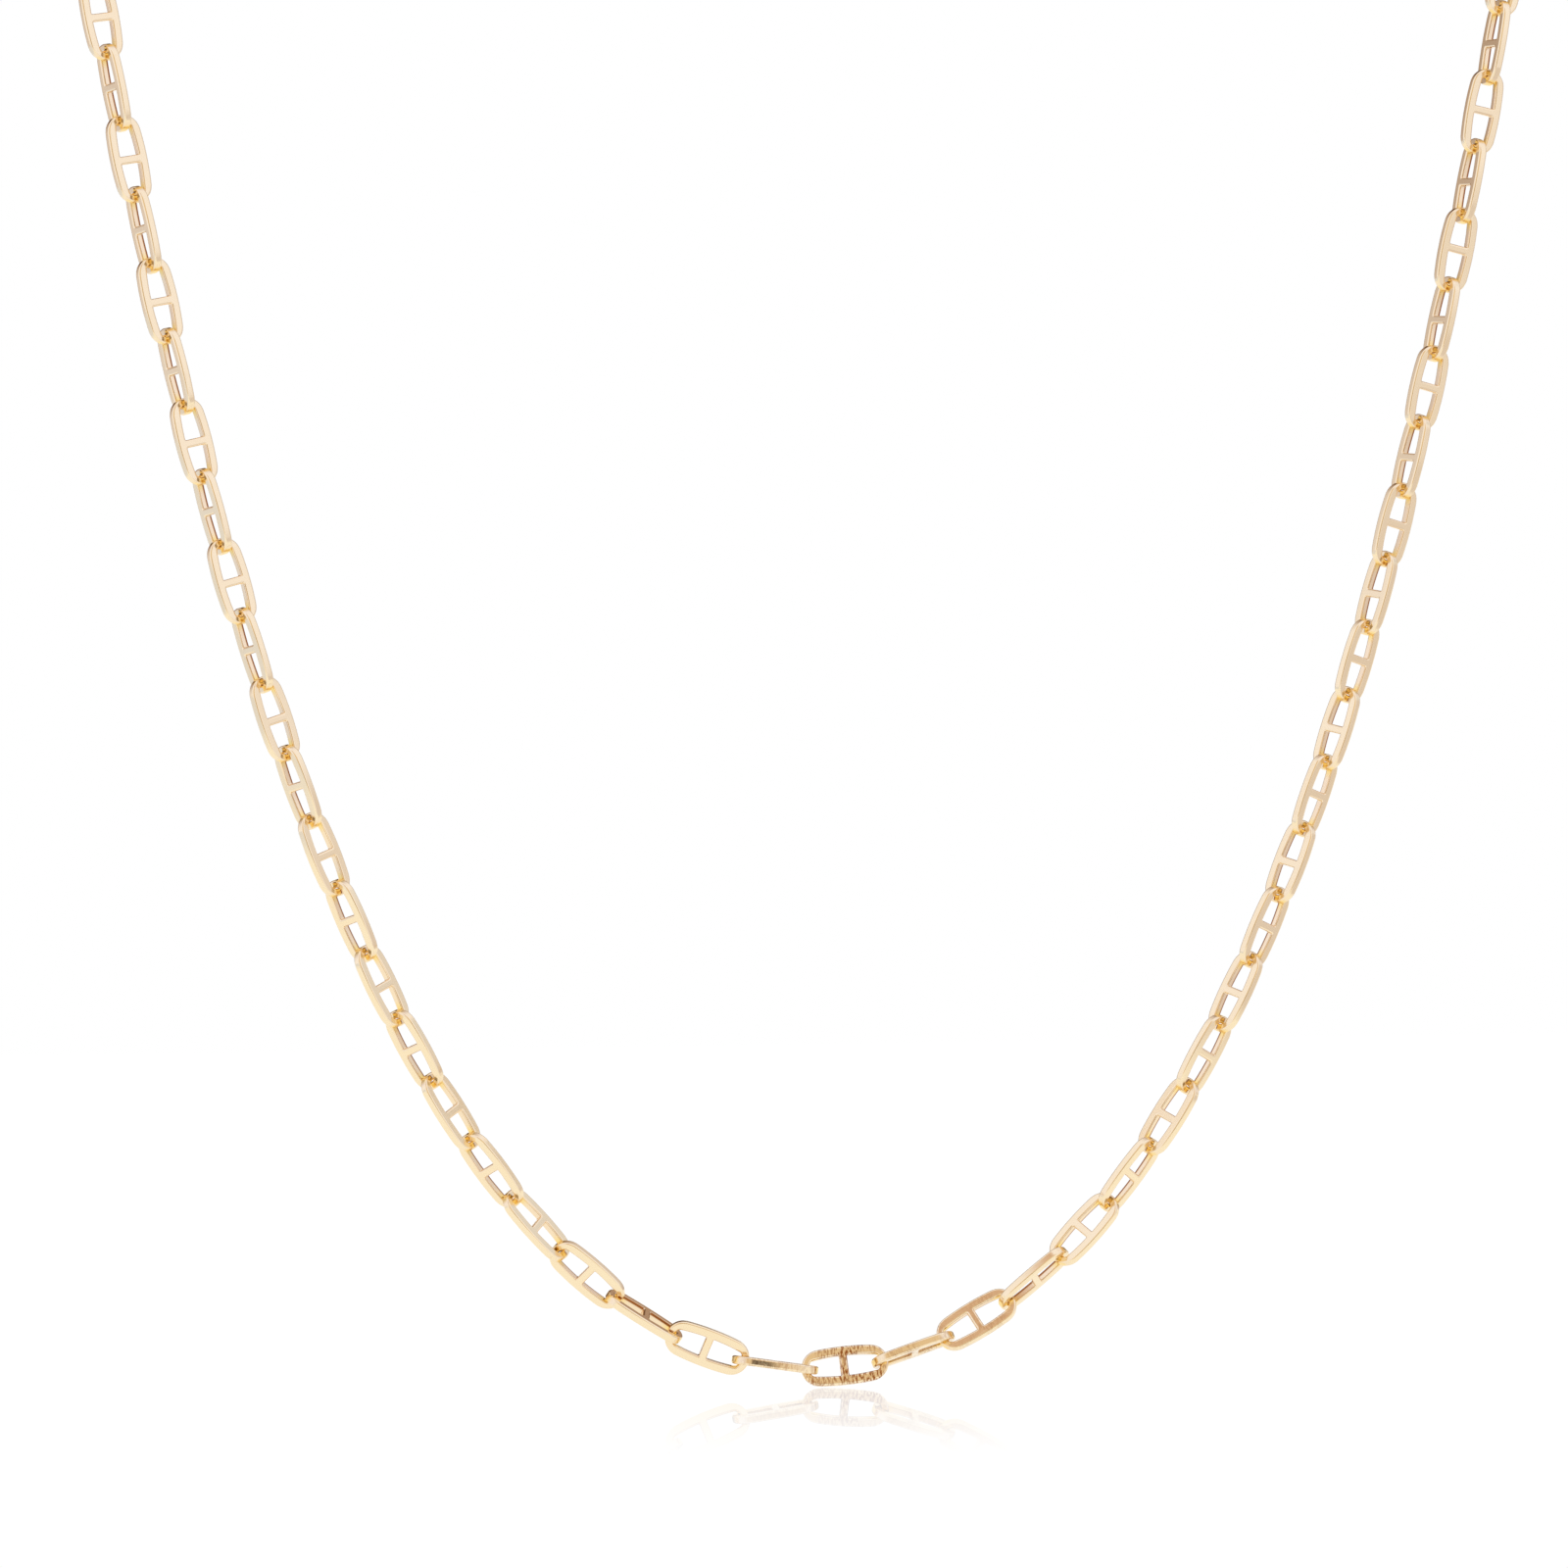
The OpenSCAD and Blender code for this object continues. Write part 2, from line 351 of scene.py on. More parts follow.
class LinkShape:
    """The outline and the two holes of a flat link, as loops of points with their normals."""

    fillet_steps, side_steps, corner_steps, end_steps = 4, 7, 5, 8
    edge_steps = 5
    # Least share of Y in the normals of a hole's long sides, and of the outline's normal in those
    # of the painted dark shade line
    long_side_y, cut_line_out = 0.8, 0.5
    # How far the painted shade of a joint reaches in from the tip of a link and how softly it ends,
    # in mm
    joint_in_hole, joint_in_hole_fade = 2, 1
    joint_outside, joint_outside_fade = 0.7, 0.5

    def __init__(self, size):
        self.size = size
        half = size.wide / 2
        self.end = np.array([size.long / 2 - size.end_r, 0])
        self.side_r = (self.end[0] ** 2 + half**2 - size.end_r**2) / (2 * (half - size.end_r))
        self.tangent_x = self.end[0] * self.side_r / (self.side_r - size.end_r)

    def hole(self, bar_x):
        """The hole on the +X side, whose bar edge is at bar_x: its round part and its bar part.

        The round part runs from the lower end of the bar round the far end to the upper end of
        the bar, and the bar part back along the bar. Each is a list of points and of the
        normals of the metal.
        """
        size = self.size
        side_r, corner_r, end_r, fillet_r = (
            size.hole_side_r, size.hole_corner_r, size.hole_end_r, size.bar_corner_r
        )
        side = np.array([0, size.wide / 2 - size.side_wall - side_r])
        end = np.array([size.long / 2 - size.end_wall - end_r, 0])
        fillet_x = bar_x + fillet_r
        fillet = np.array([fillet_x, upward(side, side_r - fillet_r, fillet_x)])
        corner = self.corner_centre(side, side_r - corner_r, end, end_r - corner_r)
        at_fillet = math.atan2(*(fillet - side)[::-1])
        at_corner = math.atan2(*(corner - side)[::-1])
        at_end = math.atan2(*(corner - end)[::-1])
        bar = arc_points(fillet, fillet_r, math.pi, at_fillet, self.fillet_steps)
        sections = [
            arc_points(side, side_r, at_fillet, at_corner, self.side_steps),
            arc_points(corner, corner_r, at_corner, at_end, self.corner_steps),
            arc_points(end, end_r, at_end, 0, self.end_steps),
        ]
        upper = [np.concatenate(part) for part in zip(*sections)]
        tip = np.array([[end[0] + end_r, 0]]), np.array([[1.0, 0]])
        flip = np.array([1, -1])
        loop = [np.concatenate([u * flip, t, u[::-1]]) for u, t in zip(upper, tip)]
        back = [np.concatenate([b[::-1], b * flip]) for b in bar]
        return (loop[0], -loop[1]), (back[0], -back[1])

    @staticmethod
    def corner_centre(a, a_r, b, b_r):
        """The crossing of two circles on the right of the line from a to b."""
        gap = b - a
        d = np.linalg.norm(gap)
        along = (a_r**2 - b_r**2 + d**2) / (2 * d)
        off = math.sqrt(a_r**2 - along**2)
        x = gap / d
        return a + along * x + off * np.array([x[1], -x[0]])

    def outline_hit(self, point, way):
        """Where a ray from inside the link meets the outline, and the normal there."""
        end = self.end * math.copysign(1, point[0])
        side = np.array([0, math.copysign(self.side_r - self.size.wide / 2, -way[1])])
        for centre, radius in ((end, self.size.end_r), (side, self.side_r)):
            off = point - centre
            b = off @ way
            reach = -b + math.sqrt(max(b * b - off @ off + radius**2, 0))
            hit = point + reach * way
            if abs(hit[0]) >= self.tangent_x:
                break
        return hit, (hit - centre) / radius

    def levels(self):
        """The rounded edges from the top face to the bottom one.

        Columns: distance in from the outline, height, shares of the outline's normal and of Z,
        share of the painted dark shade line, which lies on the lower edge where that turns into the
        wall
        """
        r, top = self.size.edge_r, self.size.thick / 2 - self.size.edge_r
        upper = [
            (r - r * math.sin(a), top + r * math.cos(a), math.sin(a), math.cos(a), 0)
            for a in np.linspace(0, math.pi / 2, self.edge_steps + 1)
        ]
        lower = [
            (d, -z, out, -up, float(out > self.cut_line_out)) for d, z, out, up, _ in reversed(upper)
        ]
        return [*upper, (0, -top / 2, 1, 0, 0), *lower]

    def mesh(self, shift, lined):
        """Vertices, normals, marks and faces of a link whose bar is moved by shift along X.

        The marks are the share of painted shade in the hole walls and joints and, where the link is
        lined, the painted dark shade line along one edge of each hole's long sides.
        """
        half_bar = self.size.bar_wide / 2
        right, right_bar = self.hole(half_bar + shift)
        left, left_bar = self.hole(half_bar - shift)
        left, left_bar = [[-part for part in loop] for loop in (left, left_bar)]
        inner = np.concatenate([right[0], left[0]])
        ways = -np.concatenate([right[1], left[1]])
        hits = [self.outline_hit(point, way) for point, way in zip(inner, ways)]
        loops = [
            [np.array(part) for part in zip(*hits)],
            [np.concatenate(pair) for pair in zip(right, right_bar)],
            [np.concatenate(pair) for pair in zip(left, left_bar)],
        ]
        levels = self.levels()
        verts, normals, marks, faces, starts = [], [], [], [], []
        for k, (points, ways) in enumerate(loops):
            start, count = sum(len(v) for v in verts), len(points)
            depth = self.depth(points[:, 0], k > 0)
            # Lined links get a painted dark shade line along the long sides of their holes
            long_side = (np.abs(ways[:, 1]) > self.long_side_y) * (lined and k > 0)
            starts.append(start)
            for inset, z, out, up, line in levels:
                verts.append(np.column_stack([points - inset * ways, np.full(count, z)]))
                normals.append(np.column_stack([out * ways, np.full(count, up)]))
                marks.append(np.column_stack([out * depth, line * long_side]))
            for j in range(len(levels) - 1):
                for i in range(count):
                    a, d = start + j * count + i, start + j * count + (i + 1) % count
                    quad = [a, a + count, d + count, d]
                    faces.append(quad if k == 0 else quad[::-1])
        faces += self.plates(starts, [len(loop[0]) for loop in loops], len(right[0]), len(levels))
        return np.concatenate(verts), np.concatenate(normals), np.concatenate(marks), faces

    def depth(self, x, in_hole):
        """How much painted shade the wall at x gets, from 0 in the open to 1 in a joint.

        The walls of a hole get half of it where no link hangs in them, and the outer walls
        of a link up to nine tenths.
        """
        from_tip = (np.abs(x) - self.size.long / 2) / MM
        if in_hole:
            return 0.5 + 0.5 * soft_step((from_tip + self.joint_in_hole) / self.joint_in_hole_fade)
        return 0.9 * soft_step((from_tip + self.joint_outside) / self.joint_outside_fade)

    @staticmethod
    def plates(starts, counts, rounds, levels):
        """The flat faces: a ring of quads round both holes and a ladder of quads on the bar."""
        faces = []
        for level, flip in ((0, 1), (levels - 1, -1)):
            outer, right, left = (s + level * c for s, c in zip(starts, counts))
            ring = list(range(right, right + rounds)) + list(range(left, left + rounds))
            n = len(ring)
            for i in range(n):
                j = (i + 1) % n
                faces.append([ring[i], outer + i, outer + j, ring[j]][::flip])
            down = [*range(right + rounds - 1, right + counts[1]), right]
            up = [left, *range(left + counts[2] - 1, left + rounds - 2, -1)]
            for i in range(len(down) - 1):
                faces.append([up[i], up[i + 1], down[i + 1], down[i]][::flip])
        return faces


def add_object(name, verts, faces):
    """A new smooth object at the origin."""
    mesh = bpy.data.meshes.new(name)
    mesh.from_pydata(verts.tolist(), [], faces)
    mesh.shade_smooth()
    made = bpy.data.objects.new(name, mesh)
    bpy.context.scene.collection.objects.link(made)
    return made


def store_places(mesh, places):
    """Lets the points of a mesh know their place on their own link."""
    where = mesh.attributes.new("place_on_link", "FLOAT_VECTOR", "POINT")
    where.data.foreach_set("vector", np.asarray(places, np.float32).ravel())


def build_links(name, numbers, settings, material):
    """One piece that holds the given links, each where the route puts it."""
    shape, route = LinkShape(settings.link), Route(settings.drape)
    parts = []
    for n in numbers:
        shift = settings.link.bar_shift * (-1 if n % 2 else 1)
        verts, normals, marks, faces = shape.mesh(shift, lined=n % 2 == 1 or n in LINED_EVEN_LINKS)
        axes, middle = route.place(n)
        # Each link reads a part of the noise of its own
        apart = np.array([n * 2 * settings.link.long, 0, 0])
        parts.append((verts @ axes + middle, normals @ axes, marks, verts + apart, faces))
    starts = np.cumsum([0] + [len(part[0]) for part in parts[:-1]])
    verts, normals, marks, places = (
        np.concatenate([part[k] for part in parts]) for k in range(4)
    )
    faces = [
        [start + corner for corner in face] for start, part in zip(starts, parts) for face in part[4]
    ]
    piece = add_object(name, verts, faces)
    piece.data.normals_split_custom_set_from_vertices(normals.tolist())
    store_places(piece.data, places)
    # Point shares of painted shade: in the hole walls and joints, and in the dark line along the
    # holes
    for mark, values in zip(("painted_shade", "cut_line"), marks.T.astype(np.float32)):
        piece.data.attributes.new(mark, "FLOAT", "POINT").data.foreach_set("value", values)
    piece.data.materials.append(material)
    return piece


def rounded_box(wide, thick, corner, steps=4):
    """Points round a rounded rectangle of the given half sizes."""
    points = []
    for k, (x, y) in enumerate(((1, 1), (-1, 1), (-1, -1), (1, -1))):
        centre = np.array([x * (wide - corner), y * (thick - corner)])
        turned = np.linspace(k, k + 1, steps + 1) * math.pi / 2
        points.append(centre + corner * np.column_stack([np.cos(turned), np.sin(turned)]))
    return np.concatenate(points)


def wrapped(rows, count, closed):
    """Quads between rows of points that each go round, back to the first row where closed."""
    quads = []
    for j in range(rows if closed else rows - 1):
        here, there = j * count, (j + 1) % rows * count
        for i in range(count):
            k = (i + 1) % count
            quads.append([here + i, here + k, there + k, there + i])
    return quads


class ClaspShape:
    """A plain body between two eyes, as three closed surfaces that reach into each other."""

    stations, around = 49, 64
    # How far the body's neck stays inside the eyes, and how softly the neck widens, in mm
    sunk, softness = 0.02, 0.3
    # Half width of the body, in mm, at which it has its full thickness
    full_at = 1
    # Corner radius of the body's section as a share of its half thickness
    corner_share = 0.55

    def __init__(self, size, link, reach):
        self.size, self.link = size, link
        self.eye_x = (reach + size.gap) / 2 - size.eye_r
        half = self.eye_x - size.eye_r
        self.body_r = (half**2 + (size.wide / 2) ** 2) / size.wide

    def body(self):
        """The body, which narrows to a neck at each end."""
        size, neck = self.size, self.link.thick / 2 - self.sunk * MM
        end = self.eye_x - size.eye_r - size.eye_wall / 2
        rows = []
        for x in end * np.sin(np.linspace(-math.pi / 2, math.pi / 2, self.stations)):
            lens = math.sqrt(self.body_r**2 - x * x) - self.body_r + size.wide / 2
            over = lens - size.eye_wall
            wide = size.eye_wall + (over + math.hypot(over, self.softness * MM)) / 2
            thick = neck + (size.thick / 2 - neck) * soft_step(lens / self.full_at / MM)
            section = rounded_box(wide, thick, self.corner_share * thick)
            rows.append(np.column_stack([np.full(len(section), x), section]))
        count = len(rows[0])
        last = (self.stations - 1) * count
        caps = [list(range(count))[::-1], list(range(last, last + count))]
        return np.concatenate(rows), wrapped(self.stations, count, False) + caps

    def eye(self, side):
        """One eye, a flat ring with rounded edges."""
        size = self.size
        section = rounded_box(size.eye_wall / 2, self.link.thick / 2, self.link.edge_r)
        rows = []
        for turned in np.linspace(0, 2 * math.pi, self.around, endpoint=False):
            out = size.eye_r + size.eye_wall / 2 + section[:, 0]
            x = side * self.eye_x + out * math.cos(turned)
            rows.append(np.column_stack([x, out * math.sin(turned), section[:, 1]]))
        return np.concatenate(rows), wrapped(self.around, len(section), True)


def united(name, surfaces):
    """One mesh from closed surfaces that reach into each other."""
    parts = [add_object(f"{name}_{i}", *surface) for i, surface in enumerate(surfaces)]
    for part in parts:
        outward = bmesh.new()
        outward.from_mesh(part.data)
        bmesh.ops.remove_doubles(outward, verts=outward.verts, dist=0.001 * MM)
        bmesh.ops.recalc_face_normals(outward, faces=outward.faces)
        outward.to_mesh(part.data)
        outward.free()
    for part in parts[1:]:
        join = parts[0].modifiers.new("join", "BOOLEAN")
        join.operation, join.object = "UNION", part
    evaluated = parts[0].evaluated_get(bpy.context.evaluated_depsgraph_get())
    mesh = bpy.data.meshes.new_from_object(evaluated)
    for part in parts:
        bpy.data.objects.remove(part)
    mesh.name = name
    return mesh


def build_clasp(name, settings, material):
    """The clasp, from the last link round to the first one."""
    route = Route(settings.drape)
    first, last = route.ends(LINKS)[0], route.ends(1)[1] + 2 * route.half
    shape = ClaspShape(settings.clasp, settings.link, last - first)
    mesh = united(name, [shape.body(), shape.eye(-1), shape.eye(1)])
    places = np.array([v.co for v in mesh.vertices])
    store_places(mesh, places)
    axes, middle = route.span(first, last, math.radians(90))
    mesh.vertices.foreach_set("co", (places @ axes + middle).ravel())
    mesh.update()
    mesh.set_sharp_from_angle(angle=math.radians(35))
    mesh.materials.clear()
    mesh.materials.append(material)
    piece = bpy.data.objects.new(name, mesh)
    bpy.context.scene.collection.objects.link(piece)
    return piece


def check_place(piece, node, limit=0.1 * MM):
    """Raises an error where the middle of a piece lies off that of its node's box."""
    points = np.array([v.co for v in piece.data.vertices])
    low, high = (np.array(corner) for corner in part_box(node))
    off = np.abs((points.min(0) + points.max(0)) / 2 - (low + high) / 2).max()
    if off > limit:
        raise ValueError(f"{piece.name} lies {off / MM:.2f} mm off {node}")


def shader_group(name, inputs, outputs):
    """An empty shader node group with the given sockets."""
    group = bpy.data.node_groups.new(name, "ShaderNodeTree")
    for socket, kind, default in inputs:
        made = group.interface.new_socket(socket, in_out="INPUT", socket_type=kind)
        if default is not None:
            made.default_value = default
    for socket, kind in outputs:
        group.interface.new_socket(socket, in_out="OUTPUT", socket_type=kind)
    return group, group.nodes.new("NodeGroupInput"), group.nodes.new("NodeGroupOutput")


def node(tree, kind, links=(), **values):
    """A new node: links feed its sockets, values set its properties or its sockets' values.

    The properties are set first, because some of them change the sockets.
    """
    made = tree.nodes.new(kind)
    for key, value in values.items():
        if hasattr(made, key):
            setattr(made, key, value)
    for key, value in values.items():
        if not hasattr(made, key):
            made.inputs[key.replace("_", " ")].default_value = value
    for socket, source in dict(links).items():
        tree.links.new(source, made.inputs[socket])
    return made


def soft_ramp(tree, value, low, high, start=0.0, end=1.0):
    """Runs softly from one value to another while the given one goes from low to high."""
    return node(
        tree, "ShaderNodeMapRange", {"Value": value}, interpolation_type="SMOOTHSTEP",
        From_Min=low, From_Max=high, To_Min=start, To_Max=end,
    ).outputs[0]


def product(tree, a, b):
    """The product of two values."""
    return node(tree, "ShaderNodeMath", {0: a, 1: b}, operation="MULTIPLY").outputs[0]


def blend(tree, share, *tints):
    """Mixes two colours by a share, each of them a socket or three numbers."""
    mixed = node(tree, "ShaderNodeMix", {0: share}, data_type="RGBA")
    for k, tint in zip((6, 7), tints):
        if isinstance(tint, tuple):
            mixed.inputs[k].default_value = (*tint, 1)
        else:
            tree.links.new(tint, mixed.inputs[k])
    return mixed.outputs[2]


def hairlines_group():
    """Fine lines that polishing leaves, as a height and as a mask of the deeper ones."""
    name = "Hairlines"
    if name in bpy.data.node_groups:
        return bpy.data.node_groups[name]
    group, given, out = shader_group(
        name,
        [("Place", "NodeSocketVector", None), ("Fineness", "NodeSocketFloat", 1.0)],
        [("Height", "NodeSocketFloat"), ("Mask", "NodeSocketFloat")],
    )
    heights = []
    for turn, stretch in ((20, 9), (-35, 6)):
        turned = node(
            group, "ShaderNodeMapping", {0: given.outputs["Place"]},
            Rotation=(0, 0, math.radians(turn)), Scale=(1, stretch, 1),
        )
        heights.append(node(
            group, "ShaderNodeTexNoise",
            {"Vector": turned.outputs[0], "Scale": given.outputs["Fineness"]},
            Detail=3.0, Roughness=0.6,
        ))
    both = node(group, "ShaderNodeMath", {0: heights[0].outputs[0], 1: heights[1].outputs[0]})
    mask = node(
        group, "ShaderNodeMapRange", {"Value": both.outputs[0]},
        From_Min=1.05, From_Max=1.35, To_Min=0.0, To_Max=1.0,
    )
    group.links.new(both.outputs[0], out.inputs["Height"])
    group.links.new(mask.outputs[0], out.inputs["Mask"])
    return group


def scuffs_group():
    """Short scuffs across a link's sides that lie in patches, as a mask."""
    name = "Scuffs"
    if name in bpy.data.node_groups:
        return bpy.data.node_groups[name]
    group, given, out = shader_group(
        name,
        [("Place", "NodeSocketVector", None), ("Amount", "NodeSocketFloat", 0.0)],
        [("Mask", "NodeSocketFloat")],
    )
    turned = node(
        group, "ShaderNodeMapping", {0: given.outputs["Place"]},
        Rotation=(0, 0, math.radians(-15)), Scale=(3, 1, 1),
    )
    marks = node(
        group, "ShaderNodeTexNoise", {"Vector": turned.outputs[0]}, Scale=2500.0, Detail=3.0
    )
    patches = node(
        group, "ShaderNodeTexNoise", {"Vector": given.outputs["Place"]}, Scale=450.0, Detail=1.0
    )
    mask = given.outputs["Amount"]
    for noise, low, high in ((marks, 0.44, 0.58), (patches, 0.38, 0.56)):
        part = node(
            group, "ShaderNodeMapRange", {"Value": noise.outputs[0]}, From_Min=low, From_Max=high
        )
        mask = product(group, mask, part.outputs[0])
    group.links.new(mask, out.inputs["Mask"])
    return group


def tone_group():
    """Slow drift between two golds, and three colours laid over it.

    Two paint shade into the hole walls and the joints, and a dark one colours the dirt in
    scuffs and the painted shade lines along the holes.
    """
    name = "Gold tone"
    if name in bpy.data.node_groups:
        return bpy.data.node_groups[name]
    group, given, out = shader_group(
        name,
        [
            ("Place", "NodeSocketVector", None),
            ("Bright", "NodeSocketColor", None),
            ("Warm", "NodeSocketColor", None),
            ("Shade", "NodeSocketColor", None),
            ("Deep", "NodeSocketColor", None),
            ("Painted_shade", "NodeSocketFloat", 0.0),
            ("Stain", "NodeSocketColor", None),
            ("Grime_and_shade", "NodeSocketFloat", 0.0),
        ],
        [("Colour", "NodeSocketColor")],
    )
    drift = node(
        group, "ShaderNodeTexNoise", {"Vector": given.outputs["Place"]}, Scale=350.0, Detail=2.0
    )
    tone = blend(group, drift.outputs[0], given.outputs["Bright"], given.outputs["Warm"])
    # The first two steps paint shade into the hole walls and joints, the last puts dirt into scuffs
    # and painted shade into the dark lines
    for share, low, high, tint in (
        ("Painted_shade", 0.0, 0.5, "Shade"), ("Painted_shade", 0.5, 1.0, "Deep"), ("Grime_and_shade", 0.0, 1.0, "Stain"),
    ):
        part = node(
            group, "ShaderNodeMapRange", {"Value": given.outputs[share]},
            From_Min=low, From_Max=high,
        )
        tone = blend(group, part.outputs[0], tone, given.outputs[tint])
    group.links.new(tone, out.inputs["Colour"])
    return group


def group_node(tree, group, links, **values):
    """A node that uses a shader node group."""
    made = tree.nodes.new("ShaderNodeGroup")
    made.node_tree = group
    for key, value in values.items():
        made.inputs[key].default_value = value
    for socket, source in links.items():
        tree.links.new(source, made.inputs[socket])
    return made


def gold_material(name, finish, scuffed=0.0, fineness=900.0):
    """Polished gold with hairlines, and scuffs where it is scuffed.

    Its colour paints shade into the hole walls and the joints, and dark shade lines along
    the holes.
    """
    if name in bpy.data.materials:
        return bpy.data.materials[name]
    material = bpy.data.materials.new(name)
    material.use_nodes = True
    tree = material.node_tree
    surface = tree.nodes["Principled BSDF"]
    surface.inputs["Metallic"].default_value = 1
    place = node(tree, "ShaderNodeAttribute", attribute_name="place_on_link").outputs["Vector"]
    # Share of painted shade in the hole walls and the joints
    painted_shade = node(tree, "ShaderNodeAttribute", attribute_name="painted_shade").outputs["Fac"]
    # Painted dark shade line along the holes of lined links
    cut_line = node(tree, "ShaderNodeAttribute", attribute_name="cut_line").outputs["Fac"]
    scuffs = group_node(tree, scuffs_group(), {"Place": place}, Amount=scuffed)
    # Dirt in the scuffs, and painted shade where the dark line runs
    grime_and_shade = node(
        tree, "ShaderNodeMath", {0: cut_line, 1: scuffs.outputs["Mask"]}, operation="MAXIMUM"
    )
    tone = group_node(
        tree, tone_group(),
        {"Place": place, "Painted_shade": painted_shade, "Grime_and_shade": grime_and_shade.outputs[0]},
        Bright=(*finish.bright, 1), Warm=(*finish.warm, 1), Shade=(*finish.shade, 1),
        Deep=(*finish.painted_joint_shade, 1), Stain=(*finish.stain_and_shade, 1),
    )
    lines = group_node(tree, hairlines_group(), {"Place": place}, Fineness=fineness)
    rough = node(
        tree, "ShaderNodeMapRange", {"Value": lines.outputs["Mask"]},
        To_Min=finish.polish, To_Max=finish.haze,
    )
    bump = node(
        tree, "ShaderNodeBump", {"Height": lines.outputs["Height"]},
        Strength=0.02, Distance=0.02 * MM,
    )
    tree.links.new(tone.outputs["Colour"], surface.inputs["Base Color"])
    tree.links.new(rough.outputs[0], surface.inputs["Roughness"])
    tree.links.new(bump.outputs[0], surface.inputs["Normal"])
    return material


class NECKCHAIN_OT_front_links(bpy.types.Operator):
    """Builds the 42 lowest links, each a piece of its own."""

    bl_idname = "neck_chain.front_links"
    bl_label = "Front links"

    def execute(self, context):
        settings = context.scene.neck_chain
        gold = gold_material("polished gold", settings.gold)
        scuffed = {
            name: gold_material(f"scuffed gold of {name}", settings.gold, share)
            for name, share in SCUFFED_LINKS
        }
        for i, name in enumerate(FRONT):
            piece = build_links(
                f"anchor_{name}", [LEFT_LINKS + 1 + i], settings, scuffed.get(name, gold)
            )
            check_place(piece, name)
            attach(piece, "root")
            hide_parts(name)
        return {"FINISHED"}


class NECKCHAIN_OT_hidden_links(bpy.types.Operator):
    """Builds the links above the front ones on both sides, joined in six runs."""

    bl_idname = "neck_chain.hidden_links"
    bl_label = "Hidden links"

    def execute(self, context):
        settings = context.scene.neck_chain
        gold = gold_material("polished gold", settings.gold)
        for name, first, last in RUNS:
            piece = build_links(f"anchor_{name}", range(first, last + 1), settings, gold)
            check_place(piece, name)
            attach(piece, "root")
            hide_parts(name)
        return {"FINISHED"}


class NECKCHAIN_OT_clasp(bpy.types.Operator):
    """Builds the plain clasp at the nape."""

    bl_idname = "neck_chain.clasp"
    bl_label = "Clasp"

    def execute(self, context):
        settings = context.scene.neck_chain
        gold = gold_material("clasp gold", settings.gold, fineness=700.0)
        piece = build_clasp("plain_clasp", settings, gold)
        check_place(piece, "clasp")
        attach(piece, "root")
        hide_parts("clasp")
        return {"FINISHED"}


def tent_colour(tree, direction):
    """The tent's white with its zones, each a soft disc about a direction of its own."""
    tint = TENT_WHITE
    for name, azimuth, elevation, radius, softness, zone in TENT_ZONES:
        a, e = math.radians(azimuth), math.radians(elevation)
        dot = node(tree, "ShaderNodeVectorMath", {0: direction}, operation="DOT_PRODUCT")
        dot.inputs[1].default_value = (
            math.sin(a) * math.cos(e), -math.cos(a) * math.cos(e), math.sin(e)
        )
        off = node(tree, "ShaderNodeMath", {0: dot.outputs["Value"]}, operation="ARCCOSINE")
        low, high = math.radians(radius - softness), math.radians(radius + softness)
        tint = blend(tree, soft_ramp(tree, off.outputs[0], low, high, 1, 0), tint, zone)
        tint.node.label = name
    return tint


def light_tent(scene):
    """White light from all round, dimmer where the tent is open.

    Only the gold sees the zones. The camera and the table's mirror see plain white.
    """
    world = bpy.data.worlds.new("white tent")
    scene.world = world
    world.use_nodes = True
    tree = world.node_tree
    tree.nodes.clear()
    direction = node(tree, "ShaderNodeTexCoord").outputs["Generated"]
    tent = node(tree, "ShaderNodeBackground", {"Color": tent_colour(tree, direction)})
    backdrop = node(tree, "ShaderNodeBackground", Color=(*WHITE, 1))
    path = node(tree, "ShaderNodeLightPath")
    plain = node(
        tree, "ShaderNodeMath",
        {0: path.outputs["Is Camera Ray"], 1: path.outputs["Is Singular Ray"]},
        operation="MAXIMUM",
    )
    mixed = node(
        tree, "ShaderNodeMixShader",
        {0: plain.outputs[0], 1: tent.outputs[0], 2: backdrop.outputs[0]},
    )
    node(tree, "ShaderNodeOutputWorld", {0: mixed.outputs[0]})


def table_material(sizes, foot):
    """White glowing table that mirrors the foot of the chain.

    The gold sees the table dimmer to its left and in front on its right. The camera doesn't.
    """
    material = bpy.data.materials.new("light table")
    material.use_nodes = True
    tree = material.node_tree
    tree.nodes.clear()
    place = node(tree, "ShaderNodeNewGeometry").outputs["Position"]
    axes = node(tree, "ShaderNodeSeparateXYZ", {0: place})
    x, y = axes.outputs["X"], axes.outputs["Y"]
    left = soft_ramp(tree, x, -sizes.left_full, -sizes.left_from, 1, 0)
    near_right = product(
        tree,
        soft_ramp(tree, x, sizes.right_from, sizes.right_full),
        soft_ramp(tree, y, foot.y + sizes.right_near, foot.y + sizes.right_back, 1, 0),
    )
    dimmed = blend(tree, left, WHITE, tuple(sizes.left))
    dimmed = blend(tree, near_right, dimmed, tuple(sizes.right))
    path = node(tree, "ShaderNodeLightPath")
    tint = blend(tree, path.outputs["Is Camera Ray"], dimmed, WHITE)
    away = node(tree, "ShaderNodeVectorMath", {0: place}, operation="DISTANCE")
    away.inputs[1].default_value = foot
    share = soft_ramp(tree, away.outputs["Value"], 0, sizes.reach, sizes.mirror, 0)
    glow = node(
        tree, "ShaderNodeEmission", {"Color": blend(tree, share, tint, BLACK)}, Strength=TABLE_GLOW
    )
    gloss = node(
        tree, "ShaderNodeBsdfGlossy", {"Color": blend(tree, share, BLACK, (TABLE_GLOW,) * 3)},
        Roughness=0.0,
    )
    both = node(tree, "ShaderNodeAddShader", {0: glow.outputs[0], 1: gloss.outputs[0]})
    node(tree, "ShaderNodeOutputMaterial", {0: both.outputs[0]})
    return material


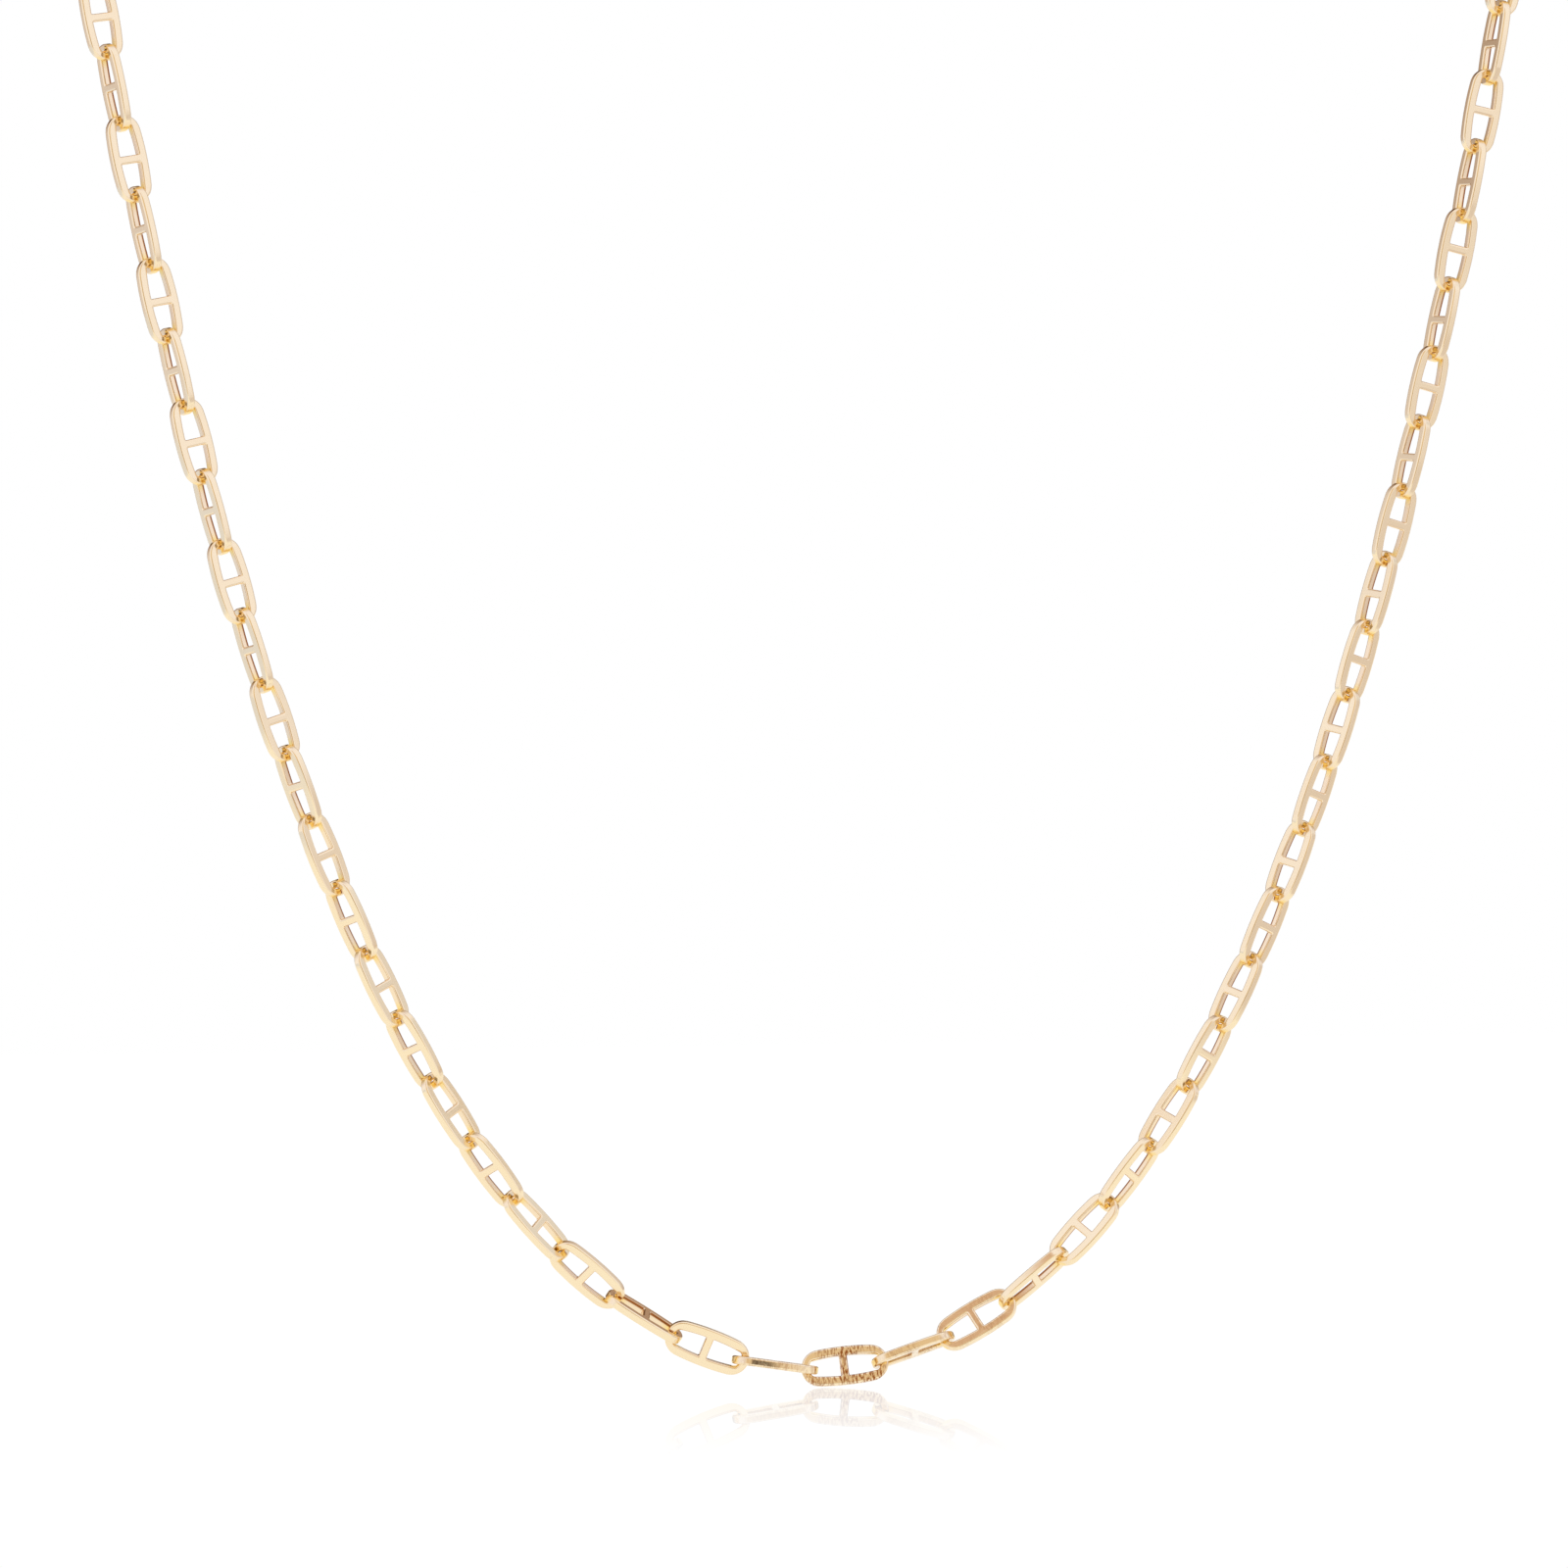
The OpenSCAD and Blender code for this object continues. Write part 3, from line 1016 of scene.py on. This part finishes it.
class NECKCHAIN_OT_stage(bpy.types.Operator):
    """Builds the light table, the white tent and the camera."""

    bl_idname = "neck_chain.stage"
    bl_label = "Stage"

    def execute(self, context):
        scene, sizes = context.scene, context.scene.neck_chain.stage
        drape = scene.neck_chain.drape
        front_y = -Route(drape).nape[1]
        level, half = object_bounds()[0].z - sizes.drop, sizes.table / 2
        mesh = bpy.data.meshes.new("light_table")
        corners = [
            (x * half, y * half, level) for x, y in ((-1, -1), (1, -1), (1, 1), (-1, 1))
        ]
        mesh.from_pydata(corners, [], [(0, 1, 2, 3)])
        foot = Vector((drape.middle_s, front_y, level))
        mesh.materials.append(table_material(sizes, foot))
        table = bpy.data.objects.new("light_table", mesh)
        scene.collection.objects.link(table)
        table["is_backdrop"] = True
        light_tent(scene)
        scene.view_settings.view_transform = "Standard"
        self.add_camera(scene, sizes, front_y)
        return {"FINISHED"}

    @staticmethod
    def add_camera(scene, sizes, front_y):
        """The camera looks at the middle of the picture in the front plane."""
        data = bpy.data.cameras.new("camera")
        data.lens = sizes.lens
        data.sensor_width = 36
        data.clip_start, data.clip_end = 0.01, 10
        camera = bpy.data.objects.new("camera", data)
        scene.collection.objects.link(camera)
        yaw, rise, roll = sizes.yaw, sizes.rise, sizes.roll
        back = Vector((
            math.sin(yaw) * math.cos(rise), -math.cos(yaw) * math.cos(rise), math.sin(rise)
        ))
        level = Vector((math.cos(yaw), math.sin(yaw), 0))
        right = Matrix.Rotation(roll, 3, back) @ level
        aim = Vector((-sizes.aim_left, front_y, -sizes.aim_down))
        turned = Matrix((right, back.cross(right), back)).transposed().to_4x4()
        camera.matrix_world = Matrix.Translation(aim + sizes.distance * back) @ turned
        scene.camera = camera


class NECKCHAIN_PT_panel(bpy.types.Panel):
    """Lists the settings and the pieces in the sidebar."""

    bl_label = "Neck chain"
    bl_idname = "NECKCHAIN_PT_panel"
    bl_space_type = "VIEW_3D"
    bl_region_type = "UI"
    bl_category = "Neck chain"

    def draw(self, context):
        settings = context.scene.neck_chain
        for group in (settings.link, settings.drape, settings.clasp, settings.gold, settings.stage):
            box = self.layout.box()
            for key in group.bl_rna.properties.keys():
                if key not in ("rna_type", "name"):
                    box.prop(group, key)
        for operator in OPERATORS:
            self.layout.operator(operator.bl_idname)


GROUPS = (LinkSizes, DrapeSizes, ClaspSizes, GoldFinish, StageSizes, ChainSettings)
OPERATORS = (
    NECKCHAIN_OT_front_links, NECKCHAIN_OT_hidden_links, NECKCHAIN_OT_clasp, NECKCHAIN_OT_stage,
)


def register():
    for cls in (*GROUPS, *OPERATORS, NECKCHAIN_PT_panel):
        bpy.utils.register_class(cls)
    bpy.types.Scene.neck_chain = bpy.props.PointerProperty(type=ChainSettings)


def unregister():
    del bpy.types.Scene.neck_chain
    for cls in reversed((*GROUPS, *OPERATORS, NECKCHAIN_PT_panel)):
        bpy.utils.unregister_class(cls)


def main():
    register()
    bpy.ops.neck_chain.front_links()
    bpy.ops.neck_chain.hidden_links()
    bpy.ops.neck_chain.clasp()
    bpy.ops.neck_chain.stage()


if __name__ == "__main__":
    main()
